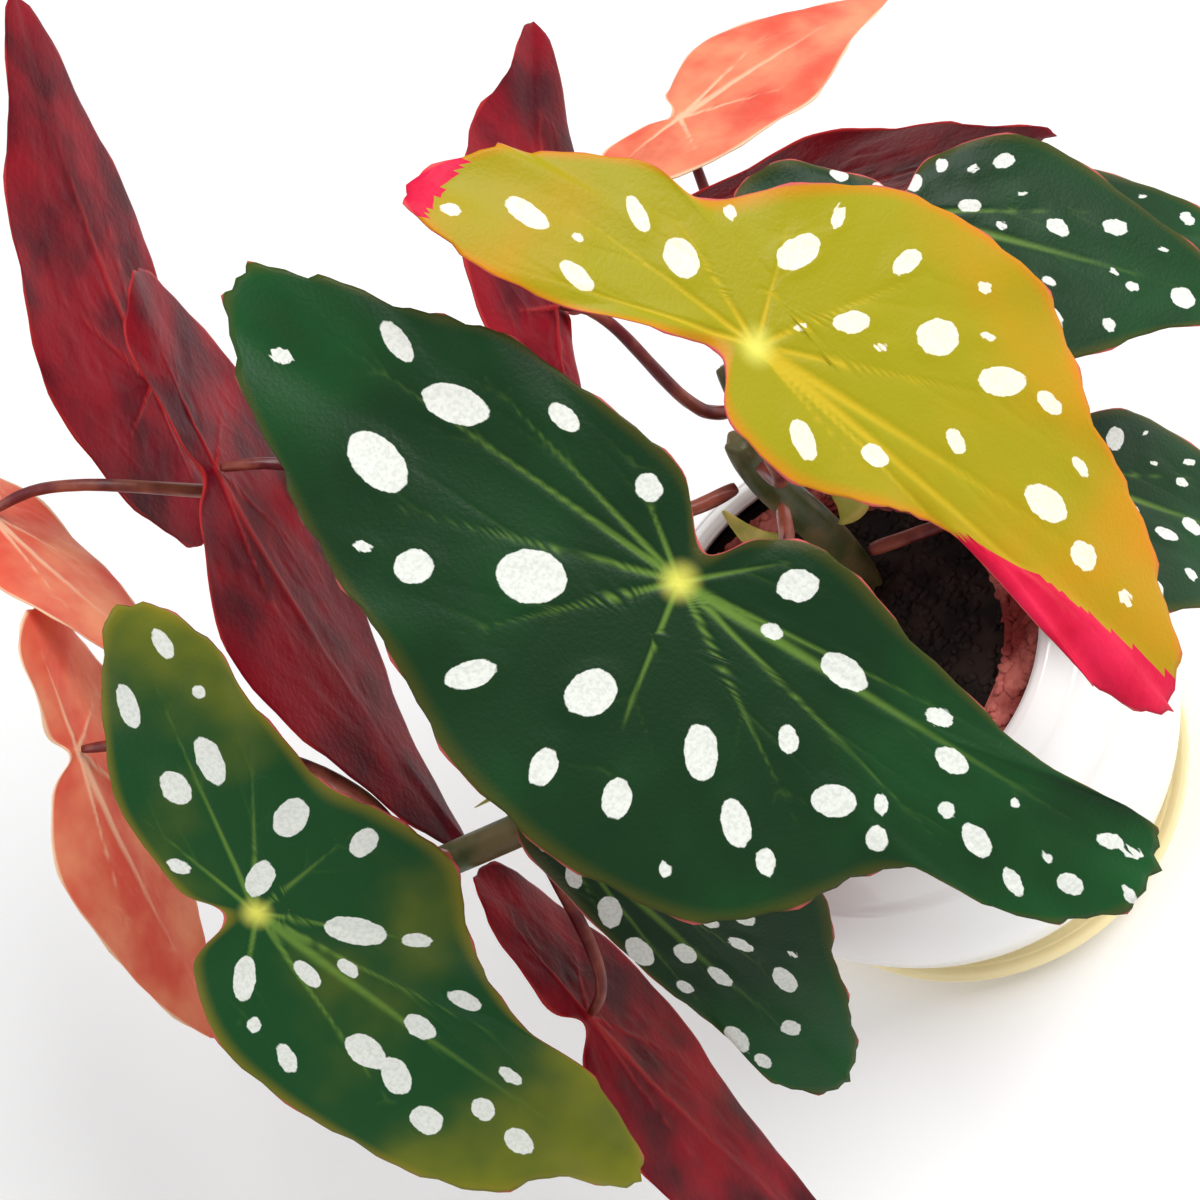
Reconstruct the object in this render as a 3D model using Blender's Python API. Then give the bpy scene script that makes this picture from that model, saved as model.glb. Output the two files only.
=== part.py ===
"""Potted polka dot begonia: glazed pot on a saucer, soil, canes, petioles, leaves and stipules.

Metres, +Z up. The origin is on the pot's axis, on the surface that the saucer stands on.
Lengths in the tables below are millimetres, and angles are degrees.
"""
from math import cos, sin, pi, radians

import bmesh
import bpy
import numpy as np

MM = 0.001
GAP = 0.35            # clearance that touching pieces keep
LEAF_GAP = 0.55       # clearance between a petiole and its blade
TURN_STEPS = 32       # sides of the pot and the saucer

POT_HEIGHT = 100.0    # mouth of the pot above the table
POT_BELLY = 59.0      # widest outer radius
POT_MOUTH = 40.6      # outer radius at the mouth
POT_WALL = 3.0
SAUCER_RADIUS = 54.0
SAUCER_RIM = 10.0     # height of the saucer's rim
SAUCER_FLOOR = 4.0    # thickness of the saucer under the pot
SOIL_TOP = 91.0

LEAF_THICKNESS = 0.8
RINGS = (0.55, 1.0)

# Outlines in the leaf's own plane: along the midrib, then across it. The petiole joins at 0, 0.
HERO = [(94, 4), (88, 15), (73, 21), (54, 22), (44, 31), (29, 44), (5, 46), (-18, 40), (-34, 30), (-48, 23),
        (-60, 15), (-77, 1), (-81, -9), (-71, -14), (-54, -17), (-41, -20), (-22, -18), (-8, -15), (1, -6),
        (8, -12), (19, -15), (39, -9), (66, -3), (88, -3)]
YELLOW = [(98, -3), (85, 3), (73, 4), (44, 2), (33, 6), (18, 13), (3, 13), (-4, 5), (-14, 9), (-30, 16),
          (-45, 19), (-56, 16), (-50, 3), (-44, -2), (-31, -11), (-20, -13), (-9, -25), (6, -37), (23, -41),
          (40, -40), (54, -30), (71, -25), (87, -15)]
LOWER = [(85, 5), (73, 13), (57, 24), (36, 27), (12, 25), (-3, 16), (-4, 4), (-14, 5), (-31, -3), (-44, -19),
         (-48, -33), (-35, -37), (-22, -33), (-6, -28), (6, -30), (21, -29), (33, -18), (47, -10), (66, -8)]
BELOW = [(79, 4), (74, 13), (58, 13), (42, 12), (23, 11), (2, 9), (-9, 2), (-12, -10), (-4, -22), (10, -28),
         (36, -28), (53, -17), (67, -8)]
WING = [(100, 3), (75, 16), (45, 32), (15, 38), (-15, 32), (-38, 16), (-42, 2), (-30, -8), (-10, -8), (0, -5),
        (8, -18), (35, -28), (70, -16)]

# name: outline, scale, centre of the outline, place of the junction, heading, drop, roll, arch, fold.
# Heading is about +Z from +X, drop is below level, roll is about the midrib. Arch bends the tip and
# the back lobe down over 90 mm, and fold lifts each half of the blade.
LEAVES = {
    "leaf_front": (HERO, 1.0, (0, 9), (-17, -23, 203), -75, 38, -8, 11, 6),
    "leaf_yellow": (YELLOW, 1.0, (-3, -8), (17, -12, 212), -87, 45, 17, 11, 4),
    "leaf_lower_left": (LOWER, 1.0, (4, -4), (-104, 10, 182), -84, 38, -20, 11, 8),
    "leaf_below_front": (BELOW, 1.0, (8, -4), (-62, -8, 153), -92, 46, -28, 8, 8),
    "leaf_far_left": (WING, 0.85, (2, 6), (-54, 136, 154), 48, -46, 90, 12, 6),
    "leaf_left": (WING, 0.93, (2, 6), (-55, 81, 182), -125, 46, -90, 12, 6),
    "leaf_young_left": (WING, 0.52, (2, 6), (-92, 118, 182), -92, 25, -110, 10, 6),
    "leaf_young_low": (WING, 0.68, (2, 6), (-114, 76, 166), -130, 40, -90, 10, 6),
    "leaf_low_under": (WING, 0.84, (2, 6), (-90, -14, 106), -102, 42, -105, 10, 6),
    "leaf_top_under": (WING, 0.66, (2, 6), (10, 62, 160), 51, -1, 105, 10, 6),
    "leaf_young_top": (WING, 0.58, (2, 6), (60, 88, 136), -2, 19, 10, 8, 6),
    "leaf_top_dark": (WING, 0.62, (2, 6), (49, 49, 147), -24, 21, 75, 8, 6),
    "leaf_top_right": (WING, 0.7, (2, 6), (59, 14, 165), -52, 35, -5, 12, 6),
    "leaf_behind_right": (WING, 0.55, (2, 6), (75, 13, 137), -35, 36, 0, 12, 6),
    "leaf_right": (WING, 0.7, (2, 6), (47, -17, 113), -49, 49, 5, 12, 6),
    "leaf_middle": (WING, 0.48, (2, 6), (-22, 28, 174), 99, -27, -35, 8, 6),
}

# name: points along the cane, radius
CANES = {
    "cane_front": (((11, 7, 91.9), (12, 9, 118), (10, 15, 140), (12, 17, 152)), 4.2),
    "cane_left": (((-15, 0, 91.9), (-16, 0, 101), (-42, 4, 114), (-66, 12, 123), (-92, 22, 132)), 4.0),
    "cane_back": (((-7, 14, 91.9), (-7, 15, 101), (-20, 52, 119), (-38, 88, 136), (-52, 110, 146)), 4.0),
    "cane_side": (((13, 21, 91.8), (13, 22, 101), (20, 38, 114), (26, 48, 124)), 3.4),
}

# leaf: cane that carries it, how far along that cane its node is
CARRIED_BY = {
    "leaf_front": ("cane_front", 0.72), "leaf_yellow": ("cane_front", 0.92),
    "leaf_lower_left": ("cane_left", 0.90), "leaf_below_front": ("cane_left", 0.55),
    "leaf_far_left": ("cane_back", 0.95), "leaf_left": ("cane_back", 0.62),
    "leaf_young_left": ("cane_back", 0.90), "leaf_young_low": ("cane_left", 0.97),
    "leaf_low_under": ("cane_left", 0.72), "leaf_top_under": ("cane_side", 0.80),
    "leaf_young_top": ("cane_side", 0.95), "leaf_top_dark": ("cane_side", 0.65),
    "leaf_top_right": ("cane_front", 0.52), "leaf_behind_right": ("cane_front", 0.38),
    "leaf_right": ("cane_front", 0.22), "leaf_middle": ("cane_front", 0.82),
}

# name: cane, how far along, heading, length, width
STIPULES = {
    "stipule_front": ("cane_front", 0.62, 210, 22, 7), "stipule_sheath": ("cane_front", 0.45, 310, 20, 8),
    "stipule_left": ("cane_left", 0.64, 150, 18, 6), "bract_dry": ("cane_left", 0.40, -60, 18, 5),
    "stipule_back": ("cane_back", 0.72, 20, 20, 7), "bud_back": ("cane_back", 0.48, -20, 12, 4),
}

GREEN, MAROON, SALMON = (0.05, 0.14, 0.03), (0.18, 0.02, 0.03), (0.62, 0.2, 0.14)
LEAF_COLOURS = {"leaf_yellow": (0.5, 0.42, 0.02), "leaf_far_left": MAROON, "leaf_left": MAROON,
                "leaf_low_under": MAROON, "leaf_top_under": MAROON, "leaf_top_dark": MAROON,
                "leaf_young_left": SALMON, "leaf_young_low": SALMON, "leaf_young_top": SALMON}


def material(name, colour, roughness):
    made = bpy.data.materials.new(name)
    made.use_nodes = True
    shader = made.node_tree.nodes["Principled BSDF"]
    shader.inputs["Base Color"].default_value = (*colour, 1)
    shader.inputs["Roughness"].default_value = roughness
    return made


def add(name, points, faces, colour, roughness):
    """Makes a mesh object of points in millimetres, with its faces turned outward."""
    mesh = bpy.data.meshes.new(name)
    mesh.from_pydata([tuple(float(v) * MM for v in p) for p in points], [], faces)
    shape = bmesh.new()
    shape.from_mesh(mesh)
    bmesh.ops.recalc_face_normals(shape, faces=shape.faces)
    shape.to_mesh(mesh)
    shape.free()
    made = bpy.data.objects.new(name, mesh)
    made.data.materials.append(material(name, colour, roughness))
    bpy.context.scene.collection.objects.link(made)
    return made


def turned(name, profile, colour, roughness):
    """Turns a closed profile of (radius, height) about Z. A point on the axis becomes one vertex."""
    points, rows = [], []
    for r, z in profile:
        first = len(points)
        if r == 0:
            points.append((0, 0, z))
            rows.append([first] * TURN_STEPS)
            continue
        for k in range(TURN_STEPS):
            angle = 2 * pi * k / TURN_STEPS
            points.append((r * cos(angle), r * sin(angle), z))
        rows.append(list(range(first, first + TURN_STEPS)))
    faces = []
    closed = all(r > 0 for r, z in profile)
    pairs = list(zip(rows, rows[1:])) + ([(rows[-1], rows[0])] if closed else [])
    for low, high in pairs:
        for k in range(TURN_STEPS):
            n = (k + 1) % TURN_STEPS
            face = list(dict.fromkeys((low[k], low[n], high[n], high[k])))
            if len(face) > 2:
                faces.append(face)
    return add(name, points, faces, colour, roughness)


def leaf_axes(heading, drop, roll):
    """Unit vectors along the midrib, to its right and out of the upper face."""
    h, d, r = radians(heading), radians(drop), radians(roll)
    along = np.array([cos(d) * cos(h), cos(d) * sin(h), -sin(d)])
    up = np.array([sin(d) * cos(h), sin(d) * sin(h), cos(d)])
    side = np.cross(along, up)
    return along, cos(r) * side + sin(r) * up, cos(r) * up - sin(r) * side


def blade(flat, place, axes, arch, fold):
    """Points and upper normals of the arched, folded blade over flat (along, across) points."""
    along, side, up = axes
    a, b = flat[:, 0], flat[:, 1]
    bend = radians(arch) / 90.0
    angle = bend * np.abs(a)
    run, sink = np.sign(a) * np.sin(angle) / bend, (1 - np.cos(angle)) / bend
    lift = radians(fold) * np.abs(b) / (1 + 4 / (np.abs(b) + 0.01)) - radians(fold) * b**2 / 90
    middle = np.array(place) + run[:, None] * along + b[:, None] * side + (lift - sink)[:, None] * up
    return middle, np.cos(angle)[:, None] * up + (np.sign(a) * np.sin(angle))[:, None] * along


def leaf(name):
    outline, scale, centre, place, heading, drop, roll, arch, fold = LEAVES[name]
    edge = np.array(outline, float) * scale
    centre = np.array(centre, float) * scale
    flat = np.concatenate([centre[None]] + [centre + (edge - centre) * ring for ring in RINGS])
    middle, normal = blade(flat, place, leaf_axes(heading, drop, roll), arch, fold)
    half = LEAF_THICKNESS / 2
    points = np.concatenate([middle + normal * half, middle - normal * half])
    count, under = len(edge), len(flat)
    faces = []
    for k in range(count):
        n = (k + 1) % count
        faces += [(0, 1 + k, 1 + n), (under, under + 1 + n, under + 1 + k)]
        for ring in range(len(RINGS) - 1):
            i, o = 1 + ring * count, 1 + (ring + 1) * count
            faces += [(i + k, o + k, o + n), (i + k, o + n, i + n)]
            faces.append((under + i + k, under + o + n, under + o + k))
            faces.append((under + i + k, under + i + n, under + o + n))
        o = 1 + (len(RINGS) - 1) * count
        faces.append((o + k, under + o + k, under + o + n, o + n))
    add(name, points, faces, LEAF_COLOURS.get(name, GREEN), 0.35)


def tube(name, path, radii, sides, colour, roughness, flat=1.0):
    """A capped tube along a path. flat squeezes its section across the path."""
    path = np.array(path, float)
    points, faces = [], []
    for i, p in enumerate(path):
        way = path[min(i + 1, len(path) - 1)] - path[max(i - 1, 0)]
        way /= np.linalg.norm(way)
        first = np.cross(way, (0.3, 0.9, 0.2))
        first /= np.linalg.norm(first)
        second = np.cross(way, first)
        for k in range(sides):
            angle = 2 * pi * k / sides
            points.append(p + radii[i] * (cos(angle) * first + flat * sin(angle) * second))
    for i in range(len(path) - 1):
        for k in range(sides):
            n = (k + 1) % sides
            faces.append((i * sides + k, i * sides + n, (i + 1) * sides + n, (i + 1) * sides + k))
    faces += [tuple(range(sides)), tuple(range((len(path) - 1) * sides, len(path) * sides))]
    return add(name, points, faces, colour, roughness)


def bezier(p0, p1, p2, p3, count):
    t = np.linspace(0, 1, count)[:, None]
    return (1 - t)**3 * p0 + 3 * t * (1 - t)**2 * p1 + 3 * t**2 * (1 - t) * p2 + t**3 * p3


def cane_point(cane, far):
    """Point and direction at a fraction of a cane's length."""
    points = np.array(CANES[cane][0], float)
    steps = np.linalg.norm(np.diff(points, axis=0), axis=1)
    reach = far * steps.sum()
    for start, end, step in zip(points, points[1:], steps):
        if reach <= step:
            break
        reach -= step
    return start + (end - start) * reach / step, (end - start) / step


def petiole(name):
    _, _, _, place, heading, drop, roll, _, _ = LEAVES[name]
    cane, far = CARRIED_BY[name]
    node, way = cane_point(cane, far)
    up = leaf_axes(heading, drop, roll)[2]
    end = np.array(place) - up * (LEAF_THICKNESS / 2 + LEAF_GAP)
    out = end - node
    out -= (out @ way) * way
    out /= np.linalg.norm(out)
    start = node + out * (CANES[cane][1] + GAP)
    reach = np.linalg.norm(end - start)
    path = bezier(start, start + out * reach * 0.35, end - up * reach * 0.3, end, 7)
    tube("petiole" + name[4:], path, np.linspace(1.8, 1.2, 7), 6, (0.3, 0.05, 0.04), 0.5)


def stipule(name):
    cane, far, heading, length, width = STIPULES[name]
    node, way = cane_point(cane, far)
    out = np.array([cos(radians(heading)), sin(radians(heading)), 0.3])
    out -= (out @ way) * way
    out /= np.linalg.norm(out)
    start = node + out * (CANES[cane][1] + GAP)
    path = bezier(start, start + out * length * 0.3, start + out * length * 0.4 + way * length * 0.4,
                  start + out * length * 0.3 + way * length * 0.9, 6)
    tube(name, path, width / 2 * np.array([0.4, 0.9, 1.0, 0.8, 0.5, 0.12]), 6, (0.45, 0.5, 0.08), 0.6, 0.35)


for old in list(bpy.data.objects):
    bpy.data.objects.remove(old)

base = SAUCER_FLOOR + GAP
turned("saucer", [(0, 0), (40, 0), (50, 3), (SAUCER_RADIUS, SAUCER_RIM), (SAUCER_RADIUS - 2.5, SAUCER_RIM),
                  (48, 6), (42, SAUCER_FLOOR), (0, SAUCER_FLOOR)], (0.95, 0.85, 0.6), 0.25)
inside = POT_MOUTH - POT_WALL
turned("pot", [(0, base), (36, base), (47, 15), (55, 33), (POT_BELLY, 58), (56, 76), (49, 90),
               (POT_MOUTH + 1, POT_HEIGHT - 1), (POT_MOUTH - 1.5, POT_HEIGHT), (inside, POT_HEIGHT - 2),
               (45, 88), (53, 74), (POT_BELLY - POT_WALL, 58), (52, 34), (44, 17), (34, base + 4),
               (0, base + 4)], (0.9, 0.9, 0.88), 0.2)
soil_base = base + 4 + GAP
turned("soil", [(0, soil_base), (33, soil_base), (43, 18), (51, 35), (55, 58), (52, 73.5), (44, 87),
                (41, SOIL_TOP), (0, SOIL_TOP)], (0.03, 0.02, 0.015), 0.9)
turned("mulch_ring", [(30, SOIL_TOP + GAP), (38, SOIL_TOP + GAP), (37.5, 93.5), (34, 94.5), (30.5, 93.5)],
       (0.5, 0.12, 0.1), 0.9)
for cane, (points, radius) in CANES.items():
    tube(cane, points, np.linspace(radius, radius * 0.85, len(points)), 10, (0.12, 0.16, 0.05), 0.5)
for name in LEAVES:
    leaf(name)
    petiole(name)
for name in STIPULES:
    stipule(name)
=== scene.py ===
"""Potted polka dot begonia: the looks of every piece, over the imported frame. Metres, +Z up."""
from math import cos, pi, radians, sin

import bpy
import numpy as np
from mathutils import Matrix, Vector


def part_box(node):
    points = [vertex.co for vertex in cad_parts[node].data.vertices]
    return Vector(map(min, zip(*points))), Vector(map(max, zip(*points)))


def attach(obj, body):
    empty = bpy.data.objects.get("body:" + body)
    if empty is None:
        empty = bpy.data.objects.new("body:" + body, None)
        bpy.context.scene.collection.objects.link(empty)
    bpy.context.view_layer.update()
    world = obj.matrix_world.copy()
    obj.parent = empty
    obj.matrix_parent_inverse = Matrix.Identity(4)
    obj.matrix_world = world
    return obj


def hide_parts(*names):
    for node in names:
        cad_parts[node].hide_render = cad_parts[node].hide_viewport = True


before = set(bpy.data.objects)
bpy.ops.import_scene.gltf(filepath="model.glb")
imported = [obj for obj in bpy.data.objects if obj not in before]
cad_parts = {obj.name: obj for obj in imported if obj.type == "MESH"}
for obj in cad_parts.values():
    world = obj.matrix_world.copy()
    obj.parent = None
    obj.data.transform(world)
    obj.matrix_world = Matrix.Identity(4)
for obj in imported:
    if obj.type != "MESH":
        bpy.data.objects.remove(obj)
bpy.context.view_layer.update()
MM = 0.001


# Shader building: a socket that adds and multiplies, and a tree that makes nodes.

class Value:
    """One float output of a node, with arithmetic."""

    def __init__(self, tree, socket):
        self.tree, self.socket = tree, socket

    def maths(self, operation, *others):
        return self.tree.maths(operation, self, *others)

    def __add__(self, other):
        return self.maths("ADD", other)

    def __mul__(self, other):
        return self.maths("MULTIPLY", other)

    def __sub__(self, other):
        return self.maths("SUBTRACT", other)

    __radd__, __rmul__ = __add__, __mul__

    def step(self, start, end):
        """0 below start, 1 above end, smooth between them."""
        node = self.tree.node("ShaderNodeMapRange", {"interpolation_type": "SMOOTHSTEP"},
                              {"Value": self, "From Min": start, "From Max": end})
        return Value(self.tree, node.outputs["Result"])


def opaque(colour):
    """A colour socket as it is, or three numbers with full alpha."""
    return colour if isinstance(colour, bpy.types.NodeSocket) else (*colour, 1)


class Tree:
    """The node tree of one new material."""

    def __init__(self, name):
        self.material = bpy.data.materials.new(name)
        self.material.use_nodes = True
        self.nodes, self.links = self.material.node_tree.nodes, self.material.node_tree.links
        self.shader = self.nodes["Principled BSDF"]

    def put(self, socket, value):
        if isinstance(value, Value):
            value = value.socket
        if isinstance(value, bpy.types.NodeSocket):
            self.links.new(value, socket)
        else:
            socket.default_value = value

    def node(self, kind, settings, inputs):
        made = self.nodes.new(kind)
        for key, value in settings.items():
            setattr(made, key, value)
        for key, value in inputs.items():
            self.put(made.inputs[key], value)
        return made

    def maths(self, operation, *values):
        made = self.node("ShaderNodeMath", {"operation": operation}, dict(enumerate(values)))
        return Value(self, made.outputs[0])

    def attribute(self, name):
        return Value(self, self.node("ShaderNodeAttribute", {"attribute_name": name}, {}).outputs["Fac"])

    def noise(self, scale, detail=3.0):
        where = self.node("ShaderNodeTexCoord", {}, {}).outputs["Object"]
        made = self.node("ShaderNodeTexNoise", {}, {"Vector": where, "Scale": scale, "Detail": detail})
        return Value(self, made.outputs["Fac"])

    def mix(self, share, first, second):
        made = self.node("ShaderNodeMix", {"data_type": "RGBA"}, {})
        for key, value in ((0, share), (6, opaque(first)), (7, opaque(second))):
            self.put(made.inputs[key], value)
        return made.outputs[2]

    def finish(self, colour, roughness, bump=None, depth=0.0002, **inputs):
        self.put(self.shader.inputs["Base Color"], opaque(colour))
        self.put(self.shader.inputs["Roughness"], roughness)
        for key, value in inputs.items():
            self.put(self.shader.inputs[key.replace("_", " ")], value)
        if bump is not None:
            made = self.node("ShaderNodeBump", {}, {"Height": bump, "Distance": depth, "Strength": 0.6})
            self.put(self.shader.inputs["Normal"], made.outputs["Normal"])
        return self.material


def piece(name, points, faces, materials, face_materials=None, attributes=None):
    """A smooth-shaded mesh object in the row frame, from points in millimetres."""
    mesh = bpy.data.meshes.new(name)
    mesh.from_pydata((np.asarray(points) * MM).tolist(), [], faces)
    mesh.polygons.foreach_set("use_smooth", [True] * len(mesh.polygons))
    for made in materials:
        mesh.materials.append(made)
    if face_materials is not None:
        mesh.polygons.foreach_set("material_index", face_materials)
    for key, values in (attributes or {}).items():
        layer = mesh.attributes.new(key, "FLOAT", "POINT")
        layer.data.foreach_set("value", np.asarray(values, np.float32))
    made = bpy.data.objects.new(name, mesh)
    bpy.context.scene.collection.objects.link(made)
    return made


# Pot and saucer: round ceramic, glazed all over, the pot white and the saucer cream. Each is
# turned about Z from a profile in millimetres, whose corners are eased. The pot stands on the saucer.

EASING = 16           # the most of each side that an eased corner takes, in millimetres
CORNER_POINTS = 7

def turned(name, profile, made, sides=160):
    corners = np.array(profile, float)
    eased = [corners[0]]
    for before, at, after in zip(corners, corners[1:], corners[2:]):
        pull = [min(1.0, EASING / np.linalg.norm(q - at)) * 0.5 for q in (before, after)]
        start, end = at + (before - at) * pull[0], at + (after - at) * pull[1]
        eased += [(1 - t)**2 * start + 2 * t * (1 - t) * at + t**2 * end for t in np.linspace(0, 1, CORNER_POINTS)]
    eased.append(corners[-1])
    turn = 2 * pi * np.arange(sides) / sides
    points = [(r * cos(a), r * sin(a), z) for r, z in eased[1:-1] for a in turn]
    points += [(0, 0, eased[0][1]), (0, 0, eased[-1][1])]
    rows, faces = len(eased) - 2, []
    for k in range(sides):
        n = (k + 1) % sides
        for row in range(rows - 1):
            i, o = row * sides, (row + 1) * sides
            faces.append((i + k, i + n, o + n, o + k))
        last = (rows - 1) * sides
        faces += [(len(points) - 2, n, k), (len(points) - 1, last + k, last + n)]
    made = piece(name + "_glazed", points, faces, [made])
    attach(made, "root")
    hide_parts(name)


def glaze(name, colour, shade):
    tree = Tree(name)
    soft = tree.noise(60).step(0.3, 0.7)
    return tree.finish(tree.mix(soft * 0.5, colour, shade), 0.22, tree.noise(90), 0.00008, Coat_Weight=0.35)


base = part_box("pot")[0].z / MM
turned("saucer", [(0, 0), (40, 0), (50, 3), (54, 9.5), (53, 10), (51.5, 9.5), (48, 6), (42, 4), (0, 4)],
       glaze("cream_glaze", (1.0, 0.86, 0.5), (0.98, 0.8, 0.42)))
turned("pot", [(0, base), (36, base), (47, 15), (55, 33), (59, 58), (56, 76), (49, 90), (41.6, 99),
               (39.1, 100), (37.6, 98), (45, 88), (53, 74), (56, 58), (52, 34), (44, 17), (34, base + 4),
               (0, base + 4)], glaze("white_glaze", (0.92, 0.92, 0.9), (0.88, 0.87, 0.82)))

# Blades: sixteen leaves, each arched along its midrib and folded a little about it, with sunken
# veins and a waved margin. The upper skin is green or yellow with silver spots and the lower one
# maroon or red, except that young leaves are salmon on both sides.
# An outline runs along the midrib, then across it, from the petiole at 0, 0. A leaf has an outline,
# scale, outline centre, place, heading, drop, roll, arch and fold, as in the frame.

HERO = [(94, 4), (88, 15), (73, 21), (54, 22), (44, 31), (29, 44), (5, 46), (-18, 40), (-34, 30), (-48, 23),
        (-60, 15), (-77, 1), (-81, -9), (-71, -14), (-54, -17), (-41, -20), (-22, -18), (-8, -15), (1, -6),
        (8, -12), (19, -15), (39, -9), (66, -3), (88, -3)]
YELLOW = [(98, -3), (85, 3), (73, 4), (44, 2), (33, 6), (18, 13), (3, 13), (-4, 5), (-14, 9), (-30, 16),
          (-45, 19), (-56, 16), (-50, 3), (-44, -2), (-31, -11), (-20, -13), (-9, -25), (6, -37), (23, -41),
          (40, -40), (54, -30), (71, -25), (87, -15)]
LOWER = [(85, 5), (73, 13), (57, 24), (36, 27), (12, 25), (-3, 16), (-4, 4), (-14, 5), (-31, -3), (-44, -19),
         (-48, -33), (-35, -37), (-22, -33), (-6, -28), (6, -30), (21, -29), (33, -18), (47, -10), (66, -8)]
BELOW = [(79, 4), (74, 13), (58, 13), (42, 12), (23, 11), (2, 9), (-9, 2), (-12, -10), (-4, -22), (10, -28),
         (36, -28), (53, -17), (67, -8)]
WING = [(100, 3), (75, 16), (45, 32), (15, 38), (-15, 32), (-38, 16), (-42, 2), (-30, -8), (-10, -8), (0, -5),
        (8, -18), (35, -28), (70, -16)]
LEAVES = {
    "leaf_front": (HERO, 1.0, (0, 9), (-17, -23, 203), -75, 38, -8, 11, 6),
    "leaf_yellow": (YELLOW, 1.0, (-3, -8), (17, -12, 212), -87, 45, 17, 11, 4),
    "leaf_lower_left": (LOWER, 1.0, (4, -4), (-104, 10, 182), -84, 38, -20, 11, 8),
    "leaf_below_front": (BELOW, 1.0, (8, -4), (-62, -8, 153), -92, 46, -28, 8, 8),
    "leaf_far_left": (WING, 0.85, (2, 6), (-54, 136, 154), 48, -46, 90, 12, 6),
    "leaf_left": (WING, 0.93, (2, 6), (-55, 81, 182), -125, 46, -90, 12, 6),
    "leaf_young_left": (WING, 0.52, (2, 6), (-92, 118, 182), -92, 25, -110, 10, 6),
    "leaf_young_low": (WING, 0.68, (2, 6), (-114, 76, 166), -130, 40, -90, 10, 6),
    "leaf_low_under": (WING, 0.84, (2, 6), (-90, -14, 106), -102, 42, -105, 10, 6),
    "leaf_top_under": (WING, 0.66, (2, 6), (10, 62, 160), 51, -1, 105, 10, 6),
    "leaf_young_top": (WING, 0.58, (2, 6), (60, 88, 136), -2, 19, 10, 8, 6),
    "leaf_top_dark": (WING, 0.62, (2, 6), (49, 49, 147), -24, 21, 75, 8, 6),
    "leaf_top_right": (WING, 0.7, (2, 6), (59, 14, 165), -52, 35, -5, 12, 6),
    "leaf_behind_right": (WING, 0.55, (2, 6), (75, 13, 137), -35, 36, 0, 12, 6),
    "leaf_right": (WING, 0.7, (2, 6), (47, -17, 113), -49, 49, 5, 12, 6),
    "leaf_middle": (WING, 0.48, (2, 6), (-22, 28, 174), 99, -27, -35, 8, 6),
}
# Silver spots of the three leaves seen best: along, across, radius.
SPOTS = {
    "leaf_front": [
        (-68, -1, 1.6), (-54, -11, 2.4), (-42, -7, 3.8), (-48, 6, 4.3), (-27, -13, 2.1), (-11, -10, 2.1),
        (-44, 18, 1.2), (-36, 17, 2.8), (-20, 10, 4.6), (-21, 27, 2.9), (-4, 21, 3.7), (15, 21, 3.4),
        (-5, 34, 2.5), (7, 33, 2.7), (25, 28, 2.9), (32, 31, 1.9), (19, 39, 1.3), (16, -8, 2.8),
        (16, 0, 1.5), (29, 0, 3.1), (46, -1, 2.0), (26, 13, 1.9), (37, 18, 3.0), (44, 15, 1.5),
        (46, 20, 1.9), (51, 4, 2.4), (54, 11, 1.4), (61, 13, 2.5), (70, 16, 1.9), (73, 10, 1.0),
        (79, 12, 2.1), (82, 3, 1.8), (87, 3, 1.3), (89, 9, 1.4), (64, 5, 1.0)],
    "leaf_yellow": [
        (-39, 7, 2.5), (-17, -3, 2.9), (-26, -4, 2.0), (-48, 14, 1.3), (-31, 5, 0.9), (-28, 10, 2.1),
        (-15, -14, 1.2), (-3, -16, 3.1), (-1, -25, 1.6), (12, -27, 2.2), (25, -33, 1.2), (10, -13, 2.4),
        (4, -7, 1.0), (16, -13, 1.0), (23, -21, 3.4), (30, -27, 1.2), (36, -23, 3.3), (45, -26, 2.0),
        (14, 7, 2.5), (25, 1, 2.1), (35, -10, 1.9), (56, -22, 1.5), (54, -13, 3.5), (65, -11, 2.6),
        (76, -11, 1.5)],
    "leaf_lower_left": [
        (-38, -31, 2.0), (-37, -18, 2.8), (-29, -28, 1.2), (-21, -19, 3.2), (-23, -11, 2.9), (-5, -19, 3.2),
        (-3, -6, 2.9), (7, -23, 2.5), (-15, 1, 1.7), (15, -8, 3.8), (24, -13, 2.0), (5, 11, 2.8),
        (13, 4, 2.1), (18, -1, 1.7), (11, 17, 1.4), (19, 19, 2.2), (29, 10, 3.2), (36, 11, 3.0),
        (45, 15, 2.8), (52, 8, 2.2), (61, 10, 2.6), (37, -8, 2.2), (34, 1, 2.5), (52, 0, 1.8)],
}
RING_COUNT = 44
EDGE_STEPS = 10       # rim points between two points of an outline
HALF_THICKNESS = 0.35
SPOT_TRIALS = 160
INSET = 0.995         # keeps the waved margin inside the frame's blade


def smooth(points, steps):
    """A closed Catmull-Rom curve through the points."""
    p = np.array(points, float)
    before, after, later = np.roll(p, 1, 0), np.roll(p, -1, 0), np.roll(p, -2, 0)
    out = [0.5 * (2 * p + (after - before) * t + (2 * before - 5 * p + 4 * after - later) * t**2
                  + (3 * p - before - 3 * after + later) * t**3) for t in np.arange(steps) / steps]
    return np.stack(out, 1).reshape(-1, 2)


def leaf_axes(heading, drop, roll):
    h, d, r = radians(heading), radians(drop), radians(roll)
    along = np.array([cos(d) * cos(h), cos(d) * sin(h), -sin(d)])
    up = np.array([sin(d) * cos(h), sin(d) * sin(h), cos(d)])
    side = np.cross(along, up)
    return along, cos(r) * side + sin(r) * up, cos(r) * up - sin(r) * side


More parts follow.
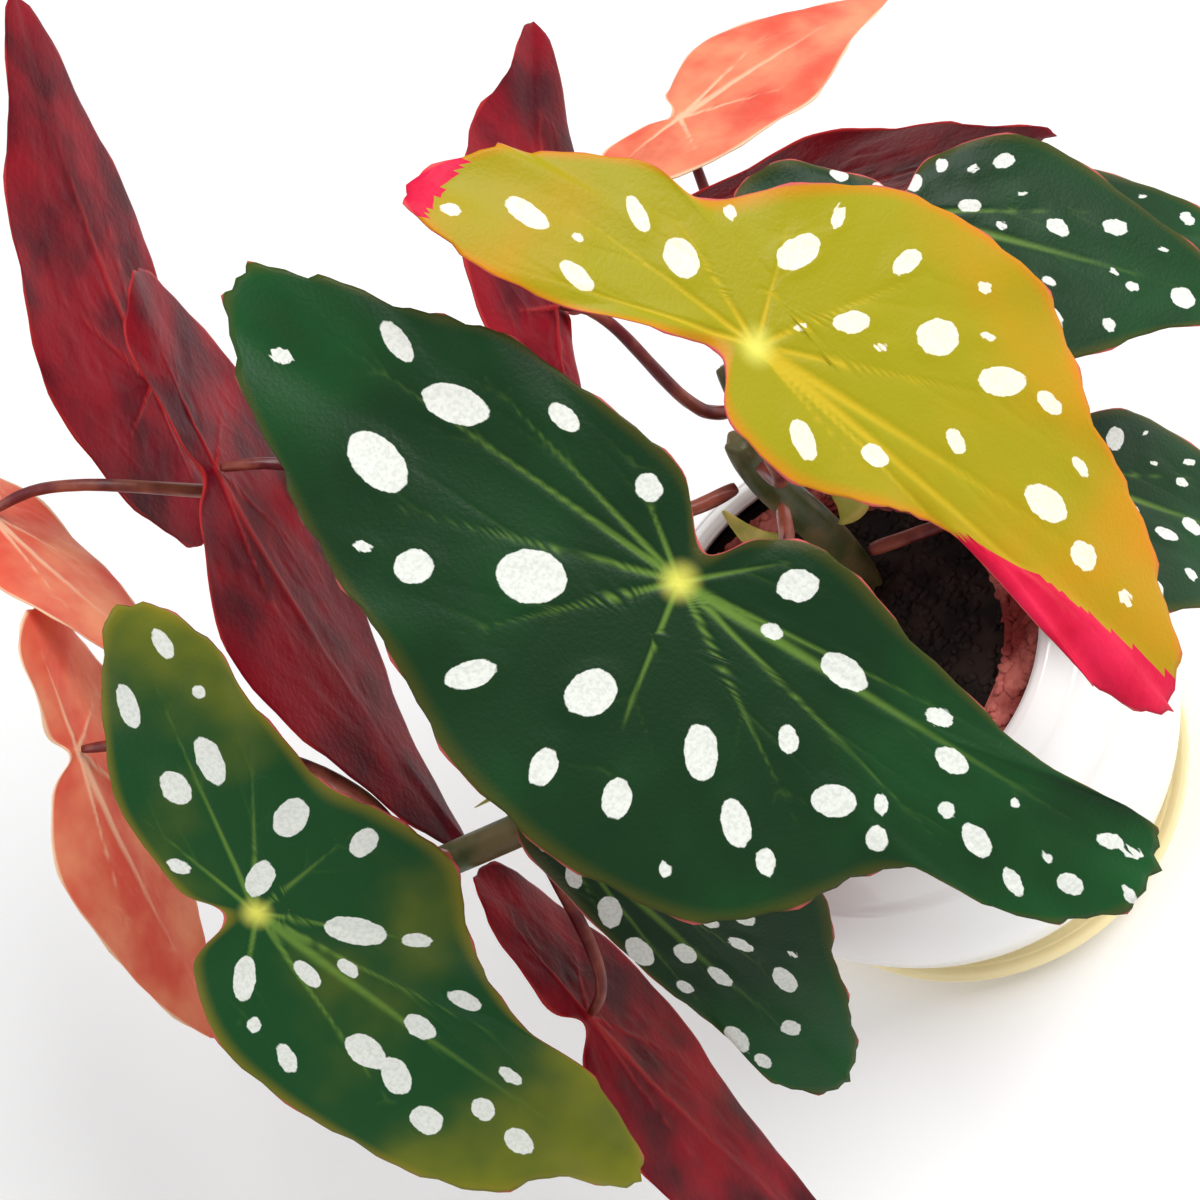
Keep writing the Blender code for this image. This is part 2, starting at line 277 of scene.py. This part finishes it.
def blade(flat, place, axes, arch, fold, rise):
    along, side, up = axes
    a, b = flat[:, 0], flat[:, 1]
    bend = radians(arch) / 90.0
    angle = bend * np.abs(a)
    run, sink = np.sign(a) * np.sin(angle) / bend, (1 - np.cos(angle)) / bend
    lift = radians(fold) * np.abs(b) / (1 + 4 / (np.abs(b) + 0.01)) - radians(fold) * b**2 / 90
    middle = np.array(place) + run[:, None] * along + b[:, None] * side + (lift - sink)[:, None] * up
    normal = np.cos(angle)[:, None] * up + (np.sign(a) * np.sin(angle))[:, None] * along
    return middle + normal * rise[:, None], normal


def distance_to(flat, start, end):
    way = np.array(end, float) - start
    share = np.clip(((flat - start) @ way) / (way @ way), 0, 1)
    return np.linalg.norm(flat - (np.array(start) + share[:, None] * way), axis=1), share


def vein_map(flat, corners):
    """How strongly a main or side vein runs through each point, from 0 to 1."""
    strength = np.zeros(len(flat))
    reach = np.linalg.norm(corners, axis=1)
    chosen = [i for i in range(0, len(corners), 2) if reach[i] > 0.25 * reach.max()]
    for i in chosen:
        far, share = distance_to(flat, (0.0, 0.0), corners[i] * 0.93)
        width = 0.75 * (1 - 0.75 * share) * (1.5 if reach[i] > 0.9 * reach.max() else 0.8)
        strength = np.maximum(strength, np.exp(-(far / width)**2) * (1 - share)**0.8)
        for fork in (0.4, 0.65):
            root = corners[i] * fork
            for other in (corners[i - 1], corners[(i + 1) % len(corners)]):
                far, share = distance_to(flat, root, root + (other * 0.95 - root) * 0.8)
                strength = np.maximum(strength, 0.32 * np.exp(-(far / 0.45)**2) * (1 - share))
    return strength


def spot_map(name, flat, corners, rng):
    """Signed distance to the nearest spot's edge, in millimetres: below 0 inside a spot.

    A leaf with no list of its own gets spots by trial, kept where they clear those before them.
    """
    spots = SPOTS.get(name)
    if spots is None:
        reach, spots = np.linalg.norm(corners, axis=1).max(), []
        for _ in range(SPOT_TRIALS):
            pick, share = rng.integers(len(corners)), rng.uniform()
            rim = corners[pick] * share + corners[pick - 1] * (1 - share)
            at, radius = rim * rng.uniform(0.25, 0.88), rng.uniform(0.012, 0.036) * reach
            if all(np.hypot(at[0] - a, at[1] - b) > 1.5 * (radius + other) + 1 for a, b, other in spots):
                spots.append((at[0], at[1], radius))
    result = np.full(len(flat), 9.0)
    for a, b, radius in spots:
        stretch, turn = rng.uniform(1.05, 1.5), np.arctan2(b, a) + rng.normal(0, 0.3)
        off = flat - (a, b)
        u, v = off @ (cos(turn), sin(turn)), off @ (-sin(turn), cos(turn))
        result = np.minimum(result, (np.hypot(u / stretch, v * stretch) - radius))
    return result


def upper_skin(name, deep, light, edge_colour, spot=(0.78, 0.8, 0.74), vein_colour=(0.2, 0.36, 0.05)):
    tree = Tree(name)
    vein, edge, far = tree.attribute("vein"), tree.attribute("edge"), tree.attribute("far")
    spots = tree.attribute("spot") + (tree.noise(500) - 0.5) * 1.0
    fine = tree.noise(1500, 4.0)
    blotch = tree.noise(35)
    colour = tree.mix((blotch * 0.8 + far * 0.5 - 0.3).step(0.2, 0.8), deep, light)
    colour = tree.mix(edge.step(3.5, 0.0) * 0.55, colour, edge_colour)
    colour = tree.mix(vein.step(0.1, 1.0) * 0.6, colour, vein_colour)
    colour = tree.mix(far.step(0.045, 0.0), colour, (0.75, 0.72, 0.12))
    silver = spots.step(0.12, -0.12) * (0.86 + 0.14 * fine.step(0.35, 0.6))
    colour = tree.mix(silver, colour, spot)
    colour = tree.mix(edge.step(0.7, 0.2), colour, (0.6, 0.1, 0.1))
    return tree.finish(colour, 0.36 + 0.15 * blotch, fine - vein * 0.5, 0.00015, Specular_IOR_Level=0.2)


def lower_skin(name, deep, light, vein_colour):
    tree = Tree(name)
    vein, fine = tree.attribute("vein"), tree.noise(700, 4.0)
    colour = tree.mix(tree.noise(60).step(0.3, 0.7), deep, light)
    colour = tree.mix(vein.step(0.1, 0.8) * 0.7, colour, vein_colour)
    colour = tree.mix(tree.attribute("edge").step(1.2, 0.3), colour, vein_colour)
    return tree.finish(colour, 0.45, fine + vein * 0.8, 0.0003, Specular_IOR_Level=0.12)


MAROON = lower_skin("maroon_skin", (0.06, 0.0, 0.005), (0.26, 0.001, 0.01), (0.4, 0.02, 0.02))
RED = lower_skin("red_skin", (0.55, 0.003, 0.03), (0.75, 0.015, 0.07), (0.8, 0.1, 0.1))
SALMON = lower_skin("salmon_skin", (0.75, 0.1, 0.06), (0.9, 0.3, 0.16), (0.95, 0.62, 0.4))
GREEN = upper_skin("green_skin", (0.004, 0.03, 0.006), (0.006, 0.085, 0.016), (0.1, 0.08, 0.004))
FRESH = upper_skin("fresh_skin", (0.006, 0.06, 0.012), (0.3, 0.28, 0.008), (0.3, 0.22, 0.01))
GOLD = upper_skin("yellow_skin", (0.34, 0.3, 0.002), (0.7, 0.24, 0.002), (0.8, 0.16, 0.005),
                  (0.95, 0.86, 0.68), (0.75, 0.5, 0.02))
SKINS = {"leaf_yellow": (GOLD, RED, "leaf_yellow"), "leaf_lower_left": (FRESH, MAROON, "leaf_green")}
for leaf_name in ("leaf_far_left", "leaf_left", "leaf_low_under", "leaf_top_under", "leaf_top_dark"):
    SKINS[leaf_name] = (GREEN, MAROON, "leaf_maroon")
for leaf_name in ("leaf_young_left", "leaf_young_low", "leaf_young_top"):
    SKINS[leaf_name] = (SALMON, SALMON, "leaf_young")


def curled(name, flat):
    """How far each point lies, in millimetres, inside the red strips of the yellow blade.

    They stand for its rolled-over margin and tip, and are raised from the blade, not folded.
    """
    if name != "leaf_yellow":
        return np.full(len(flat), -9.0)
    along, across = flat[:, 0], flat[:, 1]
    margin = np.interp(along, (38, 44, 60, 75, 98), (9, 1, -3, -5, -8))
    return np.maximum(np.minimum(across - margin, along - 38), -50.5 - along)


def leaf(name, number):
    outline, scale, centre, place, heading, drop, roll, arch, fold = LEAVES[name]
    rng = np.random.default_rng(40 + number)
    corners = np.array(outline, float) * scale
    edge, centre = smooth(corners, EDGE_STEPS), np.array(centre, float) * scale
    count = len(edge)
    turn = np.arange(count)
    ruffle = 1 - 0.012 - 0.01 * np.sin(turn * 2 * pi / 9) - 0.006 * np.sin(turn * 2 * pi / 4)
    rings = np.linspace(0, 1, RING_COUNT + 1)[1:] ** 0.85
    flat = np.concatenate([centre[None]] + [
        centre + (edge - centre) * (1 - (1 - ruffle[:, None]) * r**6) * r * INSET for r in rings])
    share = np.concatenate([[0.0]] + [np.full(count, r) for r in rings])
    rim = np.concatenate([[0]] + [turn] * RING_COUNT)
    vein = vein_map(flat, corners)
    spot = spot_map(name, flat, corners, rng)
    waves = (np.sin(rim * 2 * pi / 20 + number) * 0.7 + np.sin(rim * 2 * pi / 13) * 0.35) * share**5
    rise = waves - 0.35 * vein + 0.25 * np.exp(-(spot / 1.5)**2) * (1 - share**4)
    roll_over = curled(name, flat)
    rise += 0.9 * np.clip(roll_over / 0.8, 0, 1) * (1 - share**8)
    middle, normal = blade(flat, place, leaf_axes(heading, drop, roll), arch, fold, rise)
    thin = HALF_THICKNESS * (1 - 0.6 * share**8)
    points = np.concatenate([middle + normal * thin[:, None], middle - normal * thin[:, None]])
    under, upper, lower = len(flat), [], []
    for k in range(count):
        n = (k + 1) % count
        upper.append((0, 1 + n, 1 + k))
        for ring in range(RING_COUNT - 1):
            i, o = 1 + ring * count, 1 + (ring + 1) * count
            upper.append((i + k, i + n, o + n, o + k))
        o = 1 + (RING_COUNT - 1) * count
        lower.append((o + k, o + n, under + o + n, under + o + k))
    lower += [tuple(under + v for v in reversed(face)) for face in upper]
    gap = np.linalg.norm(flat - np.concatenate([centre[None]] + [edge] * RING_COUNT), axis=1) * 0.9
    far = np.linalg.norm(flat, axis=1) / np.linalg.norm(flat, axis=1).max()
    top, bottom, slot = SKINS.get(name, (GREEN, MAROON, "leaf_green"))
    values = {"vein": vein, "spot": spot, "edge": gap, "far": far}
    made = piece(name + "_blade", points, upper + lower, [top, bottom], 
                 [int(roll_over[list(face)].mean() > 0) for face in upper] + [1] * len(lower),
                 {key: np.tile(value, 2) for key, value in values.items()})
    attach(made, "root")
    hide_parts(name)


for number, leaf_name in enumerate(LEAVES):
    leaf(leaf_name, number)

# Canes, petioles and stipules: the frame's own solids, rounded by a subdivision, with the fleshy
# skin of a young stem. Canes are green-brown, petioles maroon, and stipules yellow-green and thin.
# The soil and the mulch ring keep the frame's shape and only take a skin here. The mulch ring is the soil's
# crumbly edge, and the red of its skin is painted light: red reflected from the leaf undersides.


def stem_skin(name, deep, light, roughness):
    tree = Tree(name)
    colour = tree.mix(tree.noise(120).step(0.35, 0.65), deep, light)
    return tree.finish(colour, roughness, tree.noise(600), 0.0002)


STEM_SKINS = {
    "cane": stem_skin("cane_skin", (0.05, 0.07, 0.015), (0.16, 0.13, 0.05), 0.45),
    "petiole": stem_skin("petiole_skin", (0.12, 0.01, 0.015), (0.35, 0.09, 0.05), 0.38),
    "stipule": stem_skin("stipule_skin", (0.35, 0.36, 0.03), (0.62, 0.52, 0.12), 0.5),
    "bract_dry": stem_skin("bract_skin", (0.35, 0.13, 0.03), (0.55, 0.28, 0.1), 0.7),
    "bud": stem_skin("bud_skin", (0.08, 0.01, 0.01), (0.2, 0.03, 0.02), 0.5),
    # mulch: the soil's crumbly edge, coloured red with painted light reflected from the red leaf undersides
    "mulch": stem_skin("red_lit_soil_edge_skin", (0.25, 0.03, 0.025), (0.65, 0.2, 0.16), 0.9),
    "soil": stem_skin("soil_skin", (0.006, 0.004, 0.003), (0.03, 0.02, 0.014), 0.95),
}
for node_name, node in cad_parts.items():
    for start, skin in STEM_SKINS.items():
        if node_name.startswith(start):
            node.data.materials.clear()
            node.data.materials.append(skin)
            if start not in ("mulch", "soil"):
                weld = node.modifiers.new("weld", "WELD")
                weld.merge_threshold = 0.00001
                rounding = node.modifiers.new("rounding", "SUBSURF")
                rounding.levels = rounding.render_levels = 2
                node.data.polygons.foreach_set("use_smooth", [True] * len(node.data.polygons))

# Soil and mulch crumbs: loose grains that lie over the soil and over its crumbly edge, scattered by
# Geometry Nodes over two flat rings and made one mesh each. The edge grains' red is painted light,
# red reflected from the leaf undersides onto the soil edge.

SIDES = 48            # sides of the flat ring that grains are scattered over

def crumbs(name, inner, outer, height, grain, density, skin):
    turn = np.linspace(0, 2 * pi, SIDES + 1)[:-1]
    points = [(r * cos(a), r * sin(a), height) for r in (inner, outer) for a in turn]
    faces = [(k, SIDES + k, SIDES + (k + 1) % SIDES, (k + 1) % SIDES) for k in range(SIDES)]
    made = piece(name, points, faces, [skin])
    tree = bpy.data.node_groups.new(name + "_scatter", "GeometryNodeTree")
    tree.interface.new_socket("Geometry", in_out="INPUT", socket_type="NodeSocketGeometry")
    tree.interface.new_socket("Geometry", in_out="OUTPUT", socket_type="NodeSocketGeometry")
    number = {"in_out": "INPUT", "socket_type": "NodeSocketFloat"}
    count = tree.interface.new_socket("Grains per square metre", **number)
    width = tree.interface.new_socket("Grain radius", **number)

    def node_of(kind, **inputs):
        new = tree.nodes.new(kind)
        for key, value in inputs.items():
            socket = new.inputs[key.replace("_", " ")]
            if isinstance(value, bpy.types.NodeSocket):
                tree.links.new(value, socket)
            else:
                socket.default_value = value
        return new

    given = tree.nodes.new("NodeGroupInput")
    spread = node_of("GeometryNodeDistributePointsOnFaces", Mesh=given.outputs[0],
                     Density=given.outputs[1], Seed=7)
    ball = node_of("GeometryNodeMeshIcoSphere", Radius=given.outputs[2], Subdivisions=2)
    size_of = tree.nodes.new("FunctionNodeRandomValue")
    size_of.data_type = "FLOAT_VECTOR"
    size_of.inputs[0].default_value, size_of.inputs[1].default_value = (0.4, 0.4, 0.3), (1.2, 1.0, 0.7)
    placed = node_of("GeometryNodeInstanceOnPoints", Points=spread.outputs[0], Instance=ball.outputs[0],
                     Scale=size_of.outputs[0], Rotation=spread.outputs[2])
    real = node_of("GeometryNodeRealizeInstances", Geometry=placed.outputs[0])
    coated = node_of("GeometryNodeSetMaterial", Geometry=real.outputs[0], Material=skin)
    tree.links.new(coated.outputs[0], tree.nodes.new("NodeGroupOutput").inputs[0])
    scatter = made.modifiers.new("scatter", "NODES")
    scatter.node_group = tree
    scatter[count.identifier], scatter[width.identifier] = float(density), grain * MM
    graph = bpy.context.evaluated_depsgraph_get()
    mesh = bpy.data.meshes.new_from_object(made.evaluated_get(graph))
    made.modifiers.clear()
    made.data = mesh
    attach(made, "root")


crumbs("soil_crumbs", 3, 37, 91.2, 1.1, 260000, STEM_SKINS["soil"])
# the edge grains' red is painted light, red reflected from the leaf undersides onto the soil edge
crumbs("red_lit_soil_edge_crumbs", 31, 36.5, 94.2, 1.3, 420000, STEM_SKINS["mulch"])

# Stage: a white floor that fills the view, two large soft lights, and a plain white surround.
# The camera looks down from the front with a 60 mm lens.

floor_mesh = bpy.data.meshes.new("floor")
floor_mesh.from_pydata([(-3, -3, 0), (3, -3, 0), (3, 3, 0), (-3, 3, 0)], [], [(0, 1, 2, 3)])
floor = bpy.data.objects.new("floor", floor_mesh)
floor_mesh.materials.append(Tree("floor_white").finish((0.95, 0.95, 0.95), 0.8))
floor.location.z = -0.0002
bpy.context.scene.collection.objects.link(floor)


def lamp(name, place, target, width, power):
    data = bpy.data.lights.new(name, "AREA")
    data.size, data.energy = width, power
    made = bpy.data.objects.new(name, data)
    bpy.context.scene.collection.objects.link(made)
    made.location = place
    way = np.array(target, float) - place
    made.rotation_euler = Vector(way).to_track_quat("-Z", "Y").to_euler()


lamp("key", (0.9, -0.3, 1.1), (0, 0, 0.1), 0.8, 16)
lamp("fill", (-0.9, 0.5, 1.2), (0, 0, 0.1), 1.2, 7)
world = bpy.data.worlds.new("surround")
world.use_nodes = True
world.node_tree.nodes["Background"].inputs["Color"].default_value = (1, 1, 1, 1)
world.node_tree.nodes["Background"].inputs["Strength"].default_value = 0.55
scene = bpy.context.scene
scene.world = world
scene.view_settings.view_transform = "Standard"

camera_data = bpy.data.cameras.new("camera")
camera_data.lens, camera_data.sensor_width = 60, 36
camera = bpy.data.objects.new("camera", camera_data)
scene.collection.objects.link(camera)
camera.matrix_world = Matrix(((0.6488, 0.7610, 0, -0.0269), (-0.6482, 0.5526, -0.5239, -0.1740),
                              (-0.3986, 0.3399, 0.8518, 0.4624), (0, 0, 0, 1)))
scene.camera = camera
